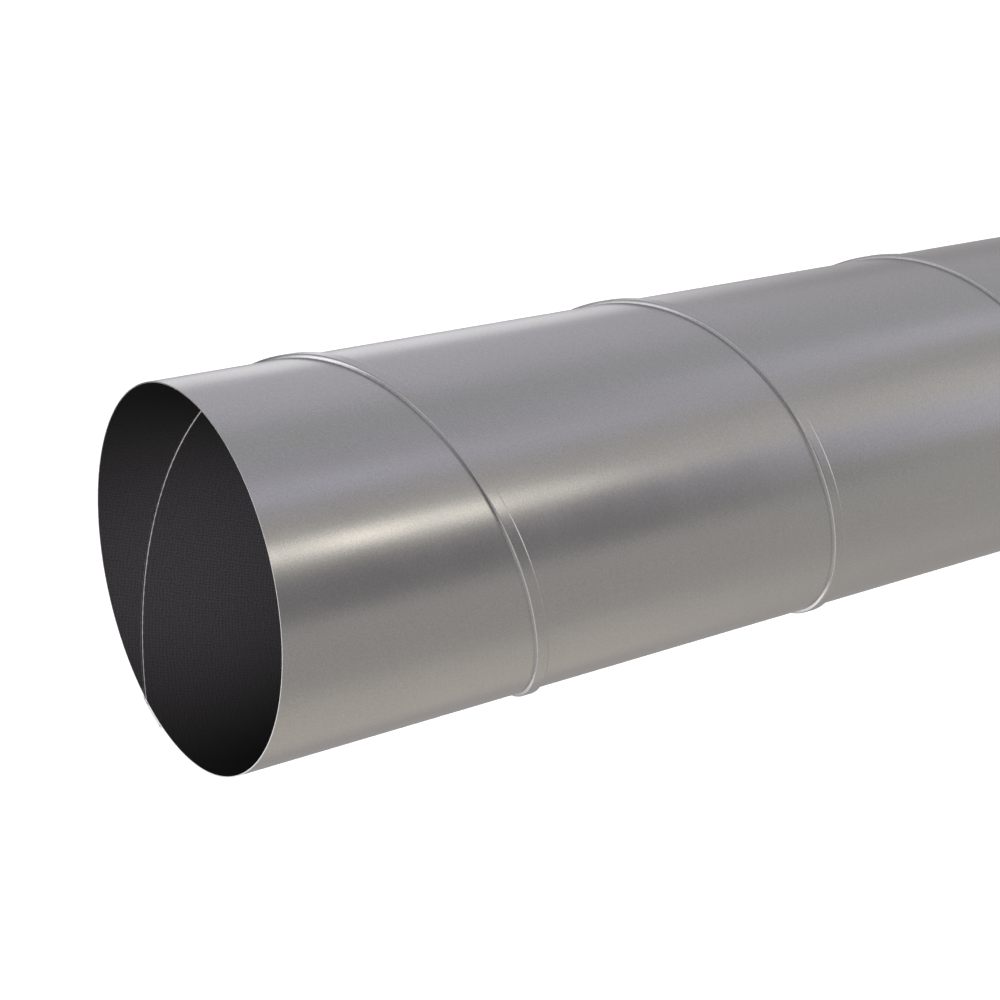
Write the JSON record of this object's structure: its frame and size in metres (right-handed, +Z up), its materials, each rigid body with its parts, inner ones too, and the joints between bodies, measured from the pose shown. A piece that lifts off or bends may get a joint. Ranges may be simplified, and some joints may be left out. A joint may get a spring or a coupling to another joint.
{
  "type": "spiral ventilation duct",
  "caption": "Straight length of round galvanised steel ventilation duct, wound from one strip with a raised spiral lock seam, open at both ends.",
  "frame": {"origin": "on the floor, at the middle of the end that the duct stands on", "axes": "+Z up the duct's axis to the mouth that the picture shows, +X towards the side that is up in the picture"},
  "size_m": [0.1284, 0.1284, 1],
  "materials": {
    "galvanised_steel": "bright hot-dip galvanised sheet, lightly dulled"
  },
  "bodies": {
    "root": {"spiral_duct": "galvanised_steel"}
  },
  "joints": []
}
